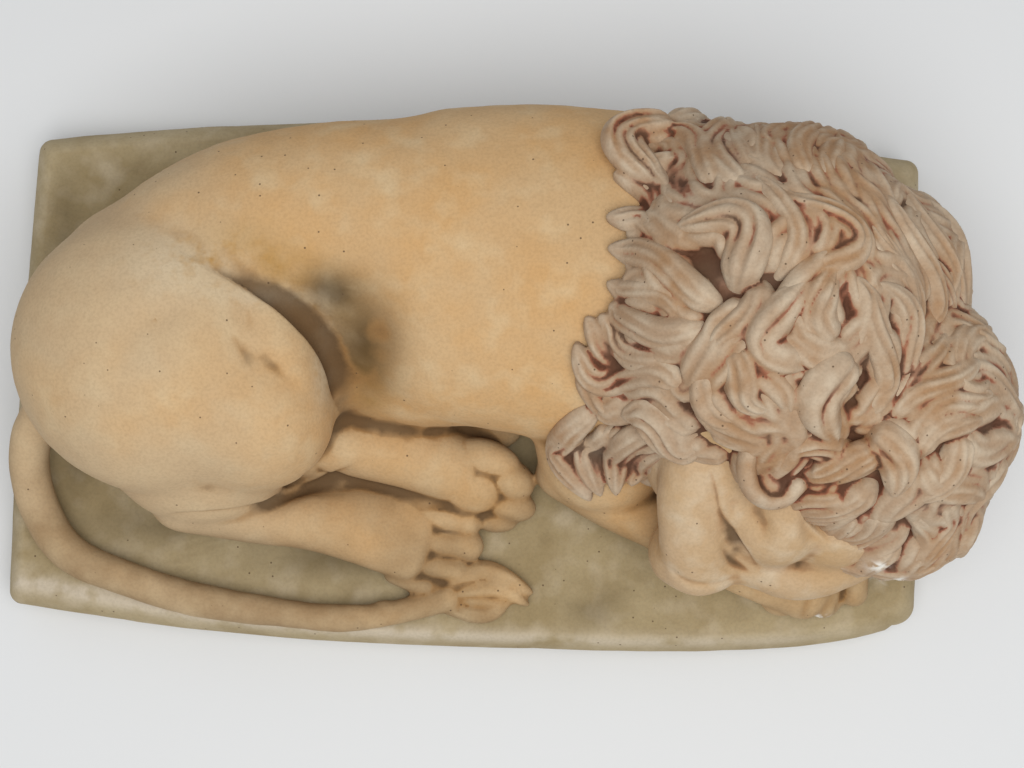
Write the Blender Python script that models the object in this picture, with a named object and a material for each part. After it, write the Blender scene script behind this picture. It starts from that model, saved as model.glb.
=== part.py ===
"""Recumbent lion on its plinth, cast as one piece.

Metres, +Z up. The origin is on the floor under the middle of the plinth. +X runs along the plinth
from the rump to the mane, and -Y is the side that the face and the hind paws turn to.
"""
import math
import random

import bmesh
import bpy
import numpy as np
from mathutils import Euler, Matrix, Vector
from mathutils.bvhtree import BVHTree

# Driving dimensions of the plinth
PLINTH_LENGTH = 0.458
PLINTH_WIDTH = 0.2635
PLINTH_HEIGHT = 0.036
FAR_SIDE_BOW = 0.014
NEAR_SIDE_BOW = 0.016
SHORT_SIDE_BOW = 0.002
REAR_SKEW = 0.006
CORNER_RADIUS = 0.007
RIM_WIDTH = 0.0085
RIM_DROP = 0.010

# Driving dimension of the figure, from the rump to the front of the mane.
# The figure's own numbers below are in 1/470 of it, counted from the middle of the plinth's top.
FIGURE_LENGTH = 0.470
UNIT = FIGURE_LENGTH / 470
FIGURE_SHIFT = 0.0

# Fineness of the figure's surface, in the same units
COARSE_VOXEL = 3.4
FINE_VOXEL = 1.8
FIGURE_TRIANGLES = 8900


def spline(rows, count):
    """Rows of numbers carried smoothly through the given ones."""
    given = np.array(rows, float)
    given = np.vstack([2 * given[0] - given[1], given, 2 * given[-1] - given[-2]])
    spans = len(given) - 3
    out = []
    for k in range(count + 1):
        place = min(k / count * spans, spans - 1e-9)
        i = int(place)
        t = place - i
        a, b, c, d = given[i : i + 4]
        out.append(
            0.5 * (2 * b + (c - a) * t + (2 * a - 5 * b + 4 * c - d) * t**2 + (3 * b - a - 3 * c + d) * t**3)
        )
    return np.array(out)


def ball(bm, at, size, turn=(0, 0, 0), fineness=3):
    turned = Euler([math.radians(a) for a in turn]).to_matrix().to_4x4()
    place = Matrix.Translation(at) @ turned @ Matrix.Diagonal((*size, 1))
    bmesh.ops.create_icosphere(bm, subdivisions=fineness, radius=1, matrix=place)


def limb(bm, stations, sides=18, steps=5, over=(0, 0, 1)):
    """A round-ended limb through stations of x, y, z, half width, half height."""
    rows = spline(stations, steps * (len(stations) - 1))
    line, wide, high = rows[:, :3], rows[:, 3], rows[:, 4]
    along = np.gradient(line, axis=0)
    along /= np.linalg.norm(along, axis=1)[:, None]
    centres, ways, halves = [], [], []
    for a in (75, 50, 25):
        reach = min(wide[0], high[0]) * math.sin(math.radians(a))
        centres.append(line[0] - along[0] * reach)
        ways.append(along[0])
        halves.append((wide[0] * math.cos(math.radians(a)), high[0] * math.cos(math.radians(a))))
    for k in range(len(line)):
        centres.append(line[k])
        ways.append(along[k])
        halves.append((wide[k], high[k]))
    for a in (25, 50, 75):
        reach = min(wide[-1], high[-1]) * math.sin(math.radians(a))
        centres.append(line[-1] + along[-1] * reach)
        ways.append(along[-1])
        halves.append((wide[-1] * math.cos(math.radians(a)), high[-1] * math.cos(math.radians(a))))
    rings = []
    for centre, way, (w, h) in zip(centres, ways, halves):
        side = np.cross(over, way)
        side /= np.linalg.norm(side)
        top = np.cross(way, side)
        ring = []
        for k in range(sides):
            a = 2 * math.pi * k / sides
            ring.append(bm.verts.new(Vector(centre + side * w * math.cos(a) + top * h * math.sin(a))))
        rings.append(ring)
    for ring, following in zip(rings, rings[1:]):
        for k in range(sides):
            m = (k + 1) % sides
            bm.faces.new((ring[k], ring[m], following[m], following[k]))
    bm.faces.new(rings[0][::-1])
    bm.faces.new(rings[-1])


def meshObject(name, bm):
    mesh = bpy.data.meshes.new(name)
    bm.to_mesh(mesh)
    bm.free()
    obj = bpy.data.objects.new(name, mesh)
    bpy.context.scene.collection.objects.link(obj)
    return obj


def settled(obj):
    """Turn the object's modifiers into its own mesh."""
    graph = bpy.context.evaluated_depsgraph_get()
    graph.update()
    mesh = bpy.data.meshes.new_from_object(obj.evaluated_get(graph))
    obj.modifiers.clear()
    old = obj.data
    obj.data = mesh
    bpy.data.meshes.remove(old)
    return obj


def fuse(obj, voxel, passes, factor=0.5):
    """Make one skin of the object's closed shapes and soften where they meet."""
    remesh = obj.modifiers.new("skin", "REMESH")
    remesh.mode = "VOXEL"
    remesh.voxel_size = voxel
    if passes:
        smooth = obj.modifiers.new("soften", "SMOOTH")
        smooth.factor = factor
        smooth.iterations = passes
    return settled(obj)


def largestShell(obj):
    """Keep the outer skin and drop any pocket sealed inside it."""
    bm = bmesh.new()
    bm.from_mesh(obj.data)
    left = set(bm.faces)
    shells = []
    while left:
        shell = []
        stack = [left.pop()]
        while stack:
            face = stack.pop()
            shell.append(face)
            for edge in face.edges:
                for other in edge.link_faces:
                    if other in left:
                        left.remove(other)
                        stack.append(other)
        shells.append(shell)
    shells.sort(key=len)
    inner = [face for shell in shells[:-1] for face in shell]
    bmesh.ops.delete(bm, geom=inner, context="FACES")
    bm.to_mesh(obj.data)
    bm.free()


def bodyMasses(bm):
    """The large forms: barrel, haunch, knee, shoulder, chest and the dome under the mane."""
    limb(
        bm,
        [
            (-160, 44, 50, 34, 38),
            (-120, 54, 52, 50, 48),
            (-70, 62, 52, 57, 51),
            (-25, 55, 50, 72, 54),
            (25, 52, 49, 79, 56),
            (80, 48, 52, 80, 58),
        ],
        sides=28,
    )
    ball(bm, (-36, 2, 24), (46, 30, 26))
    ball(bm, (58, -28, 30), (44, 38, 34))
    ball(bm, (-142, 8, 60), (71, 68, 57))
    limb(bm, [(-140, 0, 64, 54, 50), (-114, -12, 64, 46, 44), (-99, -19, 62, 40, 43)])
    ball(bm, (-126, -36, 38), (46, 38, 38))
    ball(bm, (139, 32, 66), (77, 81, 84), (0, 0, 0), 4)
    ball(bm, (158, 70, 58), (40, 45, 52))
    ball(bm, (116, 56, 58), (62, 60, 62))
    ball(bm, (176, 44, 56), (47, 47, 54))
    ball(bm, (190, -13, 60), (63, 56, 60))
    ball(bm, (202, -42, 42), (42, 44, 44))
    ball(bm, (92, 2, 50), (44, 40, 54))
    ball(bm, (150, -20, 40), (60, 50, 40))
    headMasses(bm)


def headMasses(bm):
    """Skull, broad nose and muzzle, and the cheek, turned to the near side."""
    ball(bm, (126, -34, 60), (42, 36, 42))
    limb(bm, [(112, -38, 84, 21, 18), (109, -57, 79, 19, 16), (110, -73, 66, 18, 16), (113, -84, 50, 20, 18)])
    ball(bm, (113, -81, 44), (25, 21, 28))
    ball(bm, (114, -78, 26), (23, 19, 18))
    ball(bm, (136, -52, 72), (20, 22, 25))
    ball(bm, (148, -61, 66), (26, 26, 30))
    ball(bm, (174, -62, 52), (30, 26, 32))
    ball(bm, (148, -70, 34), (46, 24, 26))


def smallForms(bm):
    """Hind legs and feet, tail, foreleg and paw, brow, jowl and ear."""
    # near hind leg and foot, with its four toes
    limb(
        bm,
        [
            (-134, -60, 26, 18, 24),
            (-104, -67, 21, 15, 18),
            (-74, -70, 18, 15, 15),
            (-46, -73, 14, 20, 13),
            (-24, -79, 11, 22, 11),
        ],
    )
    for root, tip, wide, high in (
        ((-24, -66, 12), (2, -69, 9), 7.5, 9),
        ((-26, -78, 11), (3, -81, 8), 7.5, 8.5),
        ((-28, -88, 9), (-3, -93, 7), 6.5, 7.5),
        ((-34, -96, 7), (-18, -102, 5), 5.5, 6.5),
    ):
        limb(bm, [(*root, wide * 0.9, high * 0.9), (*tip, wide, high)], sides=12, steps=3)
    # far hind foot, its toes bunched against the belly
    limb(bm, [(-84, -36, 22, 14, 20), (-56, -36, 22, 12, 19), (-30, -39, 20, 15, 18), (-4, -43, 17, 18, 16)])
    ball(bm, (-30, -22, 6), (60, 20, 14))
    ball(bm, (-34, -54, 4), (46, 12, 9))
    ball(bm, (-72, -48, 8), (34, 14, 15))
    ball(bm, (6, -50, 10), (16, 14, 12))
    for at, size, turn in (
        ((12, -36, 20), (15, 9, 11), -12),
        ((24, -48, 15), (11, 9, 12), -30),
        ((24, -61, 10), (12, 7, 10), -20),
        ((17, -69, 6), (9, 5, 7), -10),
    ):
        ball(bm, at, size, (0, 0, turn))
    # tail
    limb(
        bm,
        [
            (-196, -8, 44, 10, 12),
            (-211, -36, 24, 10, 12),
            (-211, -62, 10, 10, 9),
            (-195, -88, 8, 9.5, 9),
            (-166, -101, 8, 9, 9),
            (-128, -111, 7.5, 8.5, 8.5),
            (-91, -116, 7, 7.5, 8),
            (-57, -118, 7, 7, 7.5),
            (-30, -114, 6, 6.5, 7),
            (-6, -107, 6, 7, 7),
        ],
    )
    for root, mid, tip in (
        ((-8, -105), (8, -95), (24, -99)),
        ((-8, -107), (10, -103), (34, -101)),
        ((-8, -109), (8, -111), (26, -110)),
    ):
        limb(bm, [(*root, 5, 5, 5), (*mid, 6, 6, 6.5), (*tip, 4, 4, 4.5)], sides=12)
    # foreleg folded under the chin, and the toes of its paw
    limb(
        bm,
        [(48, -44, 20, 13, 18), (72, -57, 18, 14, 16), (100, -68, 17, 15, 15), (136, -84, 17, 17, 15), (170, -92, 15, 22, 13)],
    )
    for x, y, wide in ((157, -103, 10.5), (178, -103, 9.5), (193, -99, 7)):
        limb(bm, [(x, y + 14, 13, wide * 0.9, 10), (x, y, 9, wide, 9)], sides=12, steps=3)
    # brow that overhangs the closed eye, and the jowl over the paw
    limb(bm, [(121, -46, 92, 6, 9), (125, -60, 85, 6, 10), (131, -72, 75, 6, 10), (139, -82, 60, 6, 10)], sides=12)
    limb(bm, [(134, -82, 50, 11, 15), (146, -87, 44, 13, 17), (166, -89, 38, 14, 18), (194, -79, 40, 12, 14)], sides=14)
    # ear: a crescent rim open toward the crown
    limb(
        bm,
        [(127, -36, 114, 4, 5), (128, -50, 109, 4, 5), (137, -57, 105, 4, 5), (149, -51, 106, 4, 5)],
        sides=12,
    )


# Locks of the mane seen from above, each from its root to its tip in plan, then its width,
# how far it bows to its left and how far it sways
CROWN_LOCKS = (
    (130, 118, 90, 116, 14, -3, 0),
    (112, 73, 86, 110, 17, -11, 1),
    (91, 51, 66, 100, 18, -14, 4),
    (89, 62, 66, 88, 12, -7, 0),
    (91, 50, 63, 68, 13, -8, -1),
    (113, 24, 64, 54, 15, -4, 2),
    (98, 18, 64, 39, 12, -5, -2),
    (108, 18, 66, 30, 15, 8, 1),
    (96, 4, 61, 25, 13, 5, 2),
    (78, 4, 55, 24, 11, 4, 1),
    (101, -13, 51, 13, 16, 1, -7),
    (79, -17, 52, -1, 11, 5, 1),
    (111, -32, 75, -16, 20, -2, 3),
    (61, -22, 65, -50, 12, -15, 1),
    (100, -38, 80, -34, 9, 6, 0),
    (82, -40, 62, -32, 10, -5, 0),
    (70, -58, 50, -55, 9, 2, 0),
    (125, 72, 127, 120, 15, 15, -1),
    (129, 84, 124, 112, 12, 6, 0),
    (144, 77, 134, 118, 13, 6, 2),
    (150, 77, 166, 116, 13, 9, 1),
    (160, 76, 167, 112, 12, 4, 3),
    (169, 78, 178, 102, 12, 8, 2),
    (116, 30, 96, 59, 20, -20, 2),
    (133, 36, 126, 82, 15, -15, -2),
    (137, 37, 136, 72, 18, -28, -2),
    (146, 44, 142, 66, 14, -10, 0),
    (153, 1, 146, 36, 16, 19, 3),
    (161, 9, 158, 42, 17, 9, 0),
    (168, 9, 166, 39, 12, -6, 0),
    (128, 14, 142, -16, 13, -4, -3),
    (170, 8, 163, -25, 20, -12, 2),
    (178, -23, 173, 35, 15, -6, -3),
    (118, 11, 134, -15, 16, -5, 2),
    (108, 4, 127, -20, 13, -10, 0),
    (187, -20, 214, 19, 14, 2, 2),
    (188, -23, 228, 6, 14, 5, 2),
    (195, -26, 235, -7, 14, 6, 2),
    (202, -38, 229, -17, 13, 7, 2),
    (190, -5, 176, 37, 14, -9, 2),
    (196, 15, 173, 66, 14, -4, -3),
    (206, 16, 182, 76, 14, -8, -3),
    (214, 20, 199, 52, 13, -8, 0),
    (178, -24, 192, -49, 17, 8, 0),
    (176, -34, 145, -32, 16, -3, 2),
    (173, -41, 146, -43, 16, 5, 2),
    (175, -48, 150, -60, 15, -2, 2),
    (178, -56, 159, -72, 15, 1, 2),
    (190, -55, 184, -81, 15, -2, 3),
    (202, -55, 206, -86, 14, 12, 0),
    (214, -48, 213, -81, 14, 8, 2),
)


def skinPoint(skin, x, y):
    """The place and the outward direction of the skin above a point of the plan."""
    hit, normal, _, _ = skin.ray_cast(Vector((x, y, 400)), Vector((0, 0, -1)))
    if hit is None or hit.z < 45:
        hit, normal, _, _ = skin.find_nearest(Vector((x, y, 70)))
    return hit, normal


def lockLine(skin, row, count):
    x0, y0, x1, y1, width, bow, sway = row
    side = Vector((y0 - y1, x1 - x0)).normalized()
    out = []
    for k in range(count + 1):
        t = k / count
        aside = bow * math.sin(math.pi * t) + sway * math.sin(2 * math.pi * t)
        out.append(skinPoint(skin, x0 + (x1 - x0) * t + side.x * aside, y0 + (y1 - y0) * t + side.y * aside))
    return out


def hangingLine(skin, centre, azimuth, top, drop, sway, count):
    """A lock that hangs down the dome at one azimuth."""
    out = []
    for k in range(count + 1):
        t = k / count
        a = math.radians(azimuth + sway * math.sin(2 * math.pi * t))
        e = math.radians(top - drop * t)
        way = Vector((math.cos(a) * math.cos(e), math.sin(a) * math.cos(e), math.sin(e)))
        hit, normal, _, _ = skin.ray_cast(centre + way * 260, -way)
        if hit is None:
            hit, normal, _, _ = skin.find_nearest(centre + way * 90)
        out.append((hit, normal))
    return out


def sweepLock(bm, line, width, thickness, sides=10):
    """A lock of hair along a line on the skin: rounded above, sunk below, lifting toward its tip."""
    count = len(line) - 1
    rings = []
    for k, (place, normal) in enumerate(line):
        t = k / count
        before, after = line[max(k - 1, 0)][0], line[min(k + 1, count)][0]
        along = (after - before).normalized()
        side = normal.cross(along).normalized()
        swell = 0.45 + 0.55 * math.sin(math.pi * min(1, 0.12 + t * 0.8)) ** 0.8
        if t > 0.82:
            swell *= math.sqrt(max(0.04, 1 - ((t - 0.82) / 0.185) ** 2))
        wide, high = width / 2 * swell, thickness * swell
        middle = place + normal * (thickness * (0.05 + 0.3 * t))
        ring = []
        for m in range(sides):
            a = 2 * math.pi * m / sides
            rise = math.sin(a)
            ring.append(bm.verts.new(middle + side * wide * math.cos(a) + normal * (high * rise if rise > 0 else 7 * rise)))
        rings.append(ring)
    for ring, following in zip(rings, rings[1:]):
        for m in range(sides):
            n = (m + 1) % sides
            bm.faces.new((ring[m], following[m], following[n], ring[n]))
    bm.faces.new(rings[0])
    bm.faces.new(rings[-1][::-1])


def maneLocks(bm, skin):
    for row in CROWN_LOCKS:
        sweepLock(bm, lockLine(skin, row, 10), row[4], row[4] * 0.42)
    chance = random.Random(7)
    centre = Vector((146, 16, 60))
    for top, drop, first, last, count in (
        (34, 30, -38, 92, 11),
        (16, 32, -50, 98, 12),
        (-4, 34, -52, 98, 12),
    ):
        for k in range(count):
            azimuth = first + (last - first) * (k + chance.uniform(-0.2, 0.2)) / (count - 1)
            sway = chance.choice((-1, 1)) * chance.uniform(3, 6)
            line = hangingLine(skin, centre, azimuth, top + chance.uniform(-4, 4), drop, sway, 10)
            sweepLock(bm, line, chance.uniform(16, 21), 7)


def buildFigure():
    bm = bmesh.new()
    bodyMasses(bm)
    figure = meshObject("lion", bm)
    fuse(figure, COARSE_VOXEL, 14)
    bm = bmesh.new()
    bm.from_mesh(figure.data)
    skin = BVHTree.FromBMesh(bm)
    smallForms(bm)
    maneLocks(bm, skin)
    bm.to_mesh(figure.data)
    bm.free()
    fuse(figure, FINE_VOXEL, 1)
    largestShell(figure)
    thin = figure.modifiers.new("thin", "DECIMATE")
    thin.ratio = FIGURE_TRIANGLES / (2 * len(figure.data.polygons))
    settled(figure)
    return figure


def plinthOutline(inset, height, arc=5):
    """The bowed, round-cornered outline, drawn in by an inset, as points anticlockwise."""
    halfL = PLINTH_LENGTH / 2 - inset
    halfW = PLINTH_WIDTH / 2 - inset
    radius = max(CORNER_RADIUS - inset * 0.3, 0.002)
    cornerX = halfL - SHORT_SIDE_BOW
    points = []
    for sx, sy, first in ((1, -1, -90), (1, 1, 0), (-1, 1, 90), (-1, -1, 180)):
        cornerY = halfW - (NEAR_SIDE_BOW if sy < 0 else FAR_SIDE_BOW)
        skew = REAR_SKEW if sx < 0 < sy else 0
        for k in range(arc + 1):
            a = math.radians(first + 90 * k / arc)
            points.append(
                (
                    sx * (cornerX - radius) + radius * math.cos(a) + skew,
                    sy * (cornerY - radius) + radius * math.sin(a),
                )
            )
        if sx > 0 > sy or sx < 0 < sy:
            # a short side
            other = halfW - (FAR_SIDE_BOW if sy < 0 else NEAR_SIDE_BOW)
            for k in range(1, 6):
                t = k / 6
                y = sy * (cornerY - radius) * (1 - t) - sy * (other - radius) * t
                bow = SHORT_SIDE_BOW * (1 - (2 * t - 1) ** 2)
                points.append((sx * (cornerX + bow) + skew * (1 - t), y))
        else:
            # a long side, the near one fuller toward the head
            for k in range(1, 14):
                t = sx * (1 - k / 7)
                power = 5 if sy < 0 < t else 2
                bow = (NEAR_SIDE_BOW if sy < 0 else FAR_SIDE_BOW) * (1 - abs(t) ** power)
                x = t * (cornerX - radius) + (REAR_SKEW * max(0, -t) if sy > 0 else 0)
                points.append((x, sy * (cornerY + bow)))
    return [Vector((x, y, height)) for x, y in points]


def buildPlinth():
    bm = bmesh.new()
    rings = []
    for inset, height in (
        (0, 0),
        (0, PLINTH_HEIGHT - RIM_DROP),
        (RIM_WIDTH * 0.45, PLINTH_HEIGHT - RIM_DROP * 0.45),
        (RIM_WIDTH, PLINTH_HEIGHT),
    ):
        rings.append([bm.verts.new(p) for p in plinthOutline(inset, height)])
    for ring, following in zip(rings, rings[1:]):
        for k in range(len(ring)):
            m = (k + 1) % len(ring)
            bm.faces.new((ring[k], ring[m], following[m], following[k]))
    bm.faces.new(rings[0][::-1])
    bm.faces.new(rings[-1])
    return meshObject("plinth", bm)


for old in list(bpy.data.objects):
    bpy.data.objects.remove(old)

figure = buildFigure()
figure.data.transform(Matrix.Translation((0, FIGURE_SHIFT, PLINTH_HEIGHT)) @ Matrix.Scale(UNIT, 4))
plinth = buildPlinth()
plinth.name = "plinth_cutter"
join = figure.modifiers.new("on plinth", "BOOLEAN")
join.operation = "UNION"
join.solver = "EXACT"
join.object = plinth
settled(figure)
largestShell(figure)
figure.name = "lion_on_plinth"
figure.data.name = "lion_on_plinth"
bpy.data.objects.remove(plinth)

plaster = bpy.data.materials.new("painted plaster")
plaster.use_nodes = True
shader = plaster.node_tree.nodes["Principled BSDF"]
shader.inputs["Base Color"].default_value = (0.51, 0.36, 0.20, 1)
shader.inputs["Roughness"].default_value = 0.85
figure.data.materials.clear()
figure.data.materials.append(plaster)
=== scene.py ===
import math
import random

import bmesh
import bpy
import numpy as np
from mathutils import Euler, Matrix, Vector, noise
from mathutils.bvhtree import BVHTree
from mathutils.kdtree import KDTree


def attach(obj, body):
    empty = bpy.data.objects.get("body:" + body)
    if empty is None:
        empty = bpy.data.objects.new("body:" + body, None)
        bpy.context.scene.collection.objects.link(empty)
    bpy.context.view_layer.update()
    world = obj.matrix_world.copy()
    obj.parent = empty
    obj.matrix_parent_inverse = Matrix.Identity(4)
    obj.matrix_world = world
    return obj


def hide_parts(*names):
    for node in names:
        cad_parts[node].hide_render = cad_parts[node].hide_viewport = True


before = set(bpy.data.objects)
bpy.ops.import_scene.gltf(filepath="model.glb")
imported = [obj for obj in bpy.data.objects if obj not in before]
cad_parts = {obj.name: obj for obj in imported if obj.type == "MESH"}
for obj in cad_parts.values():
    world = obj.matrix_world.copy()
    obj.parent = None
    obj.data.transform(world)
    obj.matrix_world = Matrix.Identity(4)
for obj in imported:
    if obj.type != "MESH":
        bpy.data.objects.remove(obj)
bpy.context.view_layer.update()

# The whole piece. The figure's own numbers are millimetres from the middle of the plinth's top.
cast = {
    "figureLength": 0.470,  # m
    "plinthHeight": 0.036,
    "massVoxel": 3.2,  # mm, for the large masses
    "limbVoxel": 2.0,
    "bodyVoxel": 1.3,
    "headMassVoxel": 2.2,
    "headVoxel": 0.9,
    "crownVoxel": 0.85,
    "underVoxel": 1.0,
    "bodyTriangles": 190000,
    "headTriangles": 120000,
    "crownTriangles": 195000,
    "underTriangles": 195000,
}
unit = cast["figureLength"] / 470
through = 300  # mm, a reach that takes in the whole height


# Shape helpers


def spline(rows, count):
    # rows of numbers carried smoothly through the given ones
    given = np.array(rows, float)
    given = np.vstack([2 * given[0] - given[1], given, 2 * given[-1] - given[-2]])
    spans = len(given) - 3
    place = np.minimum(np.arange(count + 1) / count * spans, spans - 1e-9)
    i = place.astype(int)
    t = (place - i)[:, None]
    a, b, c, d = given[i], given[i + 1], given[i + 2], given[i + 3]
    bend = (2 * a - 5 * b + 4 * c - d) * t**2
    twist = (3 * b - a - 3 * c + d) * t**3
    return 0.5 * (2 * b + (c - a) * t + bend + twist)


def ball(bm, at, size, turn=(0, 0, 0)):
    turned = Euler([math.radians(a) for a in turn]).to_matrix().to_4x4()
    place = Matrix.Translation(at) @ turned @ Matrix.Diagonal((*size, 1))
    bmesh.ops.create_icosphere(bm, subdivisions=4, radius=1, matrix=place)


def addRings(bm, rings):
    # close a run of equal rings of points into a solid
    made = [[bm.verts.new(p) for p in ring] for ring in rings]
    for ring, following in zip(made, made[1:]):
        for k in range(len(ring)):
            m = (k + 1) % len(ring)
            bm.faces.new((ring[k], ring[m], following[m], following[k]))
    bm.faces.new(made[0][::-1])
    bm.faces.new(made[-1])


def limb(bm, stations, sides=24, steps=7):
    # a round-ended limb through stations of x, y, z, half width, half height
    rows = spline(stations, steps * (len(stations) - 1))
    line, wide, high = rows[:, :3], rows[:, 3], rows[:, 4]
    along = np.gradient(line, axis=0)
    along /= np.linalg.norm(along, axis=1)[:, None]
    sections = [(line[k], along[k], wide[k], high[k]) for k in range(len(line))]
    for end, sign in ((0, -1), (-1, 1)):
        reach = min(wide[end], high[end])
        cap = []
        for a in (20, 40, 60, 78):
            c, s = math.cos(math.radians(a)), math.sin(math.radians(a))
            place = line[end] + sign * along[end] * reach * s
            cap.append((place, along[end], wide[end] * c, high[end] * c))
        sections = cap[::-1] + sections if end == 0 else sections + cap
    rings = []
    for centre, way, w, h in sections:
        side = np.cross((0, 0, 1), way)
        side /= np.linalg.norm(side)
        top = np.cross(way, side)
        a = np.arange(sides) / sides * 2 * math.pi
        rings.append(centre + side * (w * np.cos(a))[:, None] + top * (h * np.sin(a))[:, None])
    addRings(bm, rings)


def meshObject(name, bm):
    # an object in the scene from the shape built so far
    mesh = bpy.data.meshes.new(name)
    bm.to_mesh(mesh)
    bm.free()
    obj = bpy.data.objects.new(name, mesh)
    bpy.context.scene.collection.objects.link(obj)
    return obj


def settle(obj):
    # its modifiers' result becomes the object's own mesh
    graph = bpy.context.evaluated_depsgraph_get()
    graph.update()
    mesh = bpy.data.meshes.new_from_object(obj.evaluated_get(graph))
    obj.modifiers.clear()
    old = obj.data
    obj.data = mesh
    bpy.data.meshes.remove(old)


def fuse(obj, voxel, passes, subdivide=0):
    # one skin over the closed shapes, softened where they meet
    remesh = obj.modifiers.new("skin", "REMESH")
    remesh.mode = "VOXEL"
    remesh.voxel_size = voxel
    smooth = obj.modifiers.new("soften", "SMOOTH")
    smooth.factor = 0.5
    smooth.iterations = passes
    if subdivide:
        finer = obj.modifiers.new("finer", "SUBSURF")
        finer.levels = subdivide
        finer.render_levels = subdivide
    settle(obj)


def thinTo(obj, triangles):
    # flat stretches lose triangles first, so the carving stays
    obj.data.calc_loop_triangles()
    now = len(obj.data.loop_triangles)
    if now > triangles:
        thin = obj.modifiers.new("thin", "DECIMATE")
        thin.ratio = triangles / now
        settle(obj)
    obj.data.validate()  # drops the few faces that thinning folded onto others


def pointsOf(obj):
    count = len(obj.data.vertices)
    points = np.empty(count * 3, np.float32)
    obj.data.vertices.foreach_get("co", points)
    normals = np.empty(count * 3, np.float32)
    obj.data.vertex_normals.foreach_get("vector", normals)
    return points.reshape(-1, 3).astype(float), normals.reshape(-1, 3).astype(float)


def setPoints(obj, points):
    obj.data.vertices.foreach_set("co", points.astype(np.float32).ravel())
    obj.data.update()


def skinOf(obj):
    # its surface, ready for finding places on it
    bm = bmesh.new()
    bm.from_mesh(obj.data)
    tree = BVHTree.FromBMesh(bm)
    bm.free()
    return tree


def onSkin(skin, x, y, low=0):
    # the skin's place and outward direction above a point of the plan, and beside it where it ends
    above = Vector((x, y, 400))
    hit, normal, _, _ = skin.ray_cast(above, Vector((0, 0, -1)))
    if hit is None or hit.z < low:
        hit, normal, _, _ = skin.find_nearest(Vector((x, y, max(low, 30) + 25)))
    return hit, normal


def strokeOf(points, line):
    # each point's distance from a run of stretches, its share along the run, and its side in plan
    best = np.full(len(points), 1e9)
    share = np.zeros(len(points))
    side = np.zeros(len(points))
    steps = np.linalg.norm(np.diff(line, axis=0), axis=1)
    ends = np.concatenate([[0], np.cumsum(steps)]) / steps.sum()
    for k in range(len(steps)):
        a, ab = line[k], line[k + 1] - line[k]
        away = points - a
        t = np.clip((away @ ab) / (ab @ ab), 0, 1)
        d = np.linalg.norm(away - t[:, None] * ab, axis=1)
        nearer = d < best
        best[nearer] = d[nearer]
        share[nearer] = (ends[k] + (ends[k + 1] - ends[k]) * t)[nearer]
        side[nearer] = np.sign(ab[0] * away[:, 1] - ab[1] * away[:, 0])[nearer]
    return best, share, side


def carve(points, normals, tree, route, width, depth, lowSide=0):
    # a groove along a route in plan; with a low side it is a step down to that side (1 left, -1 right)
    laid = np.array([onSkin(tree, x, y)[0] for x, y in spline(route, 5 * (len(route) - 1))])
    reach = 3 * width
    inside = ((points > laid.min(0) - reach) & (points < laid.max(0) + reach)).all(axis=1)
    d, share, side = strokeOf(points[inside], laid)
    fade = np.sin(math.pi * np.clip(share, 0.02, 0.98)) ** 0.8
    spread = np.full(len(d), float(width))
    crisp = 1.4  # mm over which the high side of a step rises
    if lowSide:
        spread[side * lowSide < 0] = crisp
    points[inside] -= normals[inside] * (depth * fade * np.exp(-((d / spread) ** 2)))[:, None]


def dent(points, normals, at, size, depth):
    # a soft round hollow, or a swelling where the depth is negative
    away = (points - np.array(at)) / np.array(size)
    points -= normals * (depth * np.exp(-(away**2).sum(axis=1)))[:, None]


def soften(obj, passes):
    smooth = obj.modifiers.new("soften", "SMOOTH")
    smooth.factor = 0.5
    smooth.iterations = passes
    settle(obj)


def undulate(points, normals, waves):
    # unevenness of a hand-modelled surface: each wave has its length and its height in mm
    for k, p in enumerate(points):
        place = Vector(p)
        lift = sum(high * noise.noise(place / length) for length, high in waves)
        points[k] = p + normals[k] * lift


# Large masses of the lion, shared by the body and the ground that the mane grows on

maneMasses = (
    ((139, 32, 66), (77, 81, 84)),
    ((158, 70, 58), (40, 45, 52)),
    ((116, 56, 58), (62, 60, 62)),
    ((184, 46, 56), (46, 46, 54)),
    ((190, -13, 60), (63, 56, 60)),
    ((202, -42, 42), (42, 44, 44)),
    ((92, 2, 50), (44, 40, 54)),
)


def bodyMasses(bm):
    barrel = [
        (-160, 44, 50, 34, 38),
        (-120, 54, 52, 50, 48),
        (-70, 62, 52, 57, 51),
        (-25, 55, 50, 72, 54),
        (25, 52, 49, 79, 56),
        (80, 48, 52, 80, 58),
    ]
    limb(bm, barrel, sides=40)
    ball(bm, (-22, 4, 38), (66, 29, 35))  # belly
    ball(bm, (68, -30, 28), (34, 34, 33))  # chest, where the foreleg leaves it
    ball(bm, (-142, 8, 60), (71, 68, 57))  # haunch, and the thigh toward the knee
    limb(bm, [(-140, 0, 64, 54, 50), (-114, -12, 64, 46, 44), (-99, -19, 62, 40, 43)])
    ball(bm, (-126, -36, 38), (46, 38, 38))
    for at, size in maneMasses:
        ball(bm, at, size)
    ball(bm, (150, -20, 40), (60, 50, 40))  # under the head


print("lion: large masses")
bm = bmesh.new()
bodyMasses(bm)
body = meshObject("lionBody", bm)
fuse(body, cast["massVoxel"], 14, subdivide=1)
skin = skinOf(body)


# The hair's edges in plan: round the face as x, y, and over the back as y, x
faceEdge = (
    (60, -30),
    (100, -34),
    (113, -33),
    (121, -40),
    (128, -52),
    (143, -56),
    (152, -59),
    (157, -70),
    (169, -80),
    (202, -86),
    (250, -100),
)
backEdge = ((-30, 60), (12, 64), (30, 70), (73, 72), (92, 76), (104, 84), (116, 98), (130, 112))


def edgeAt(edge, along):
    # where the edge lies at a place along it
    return np.interp(along, [a for a, b in edge], [b for a, b in edge])


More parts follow.
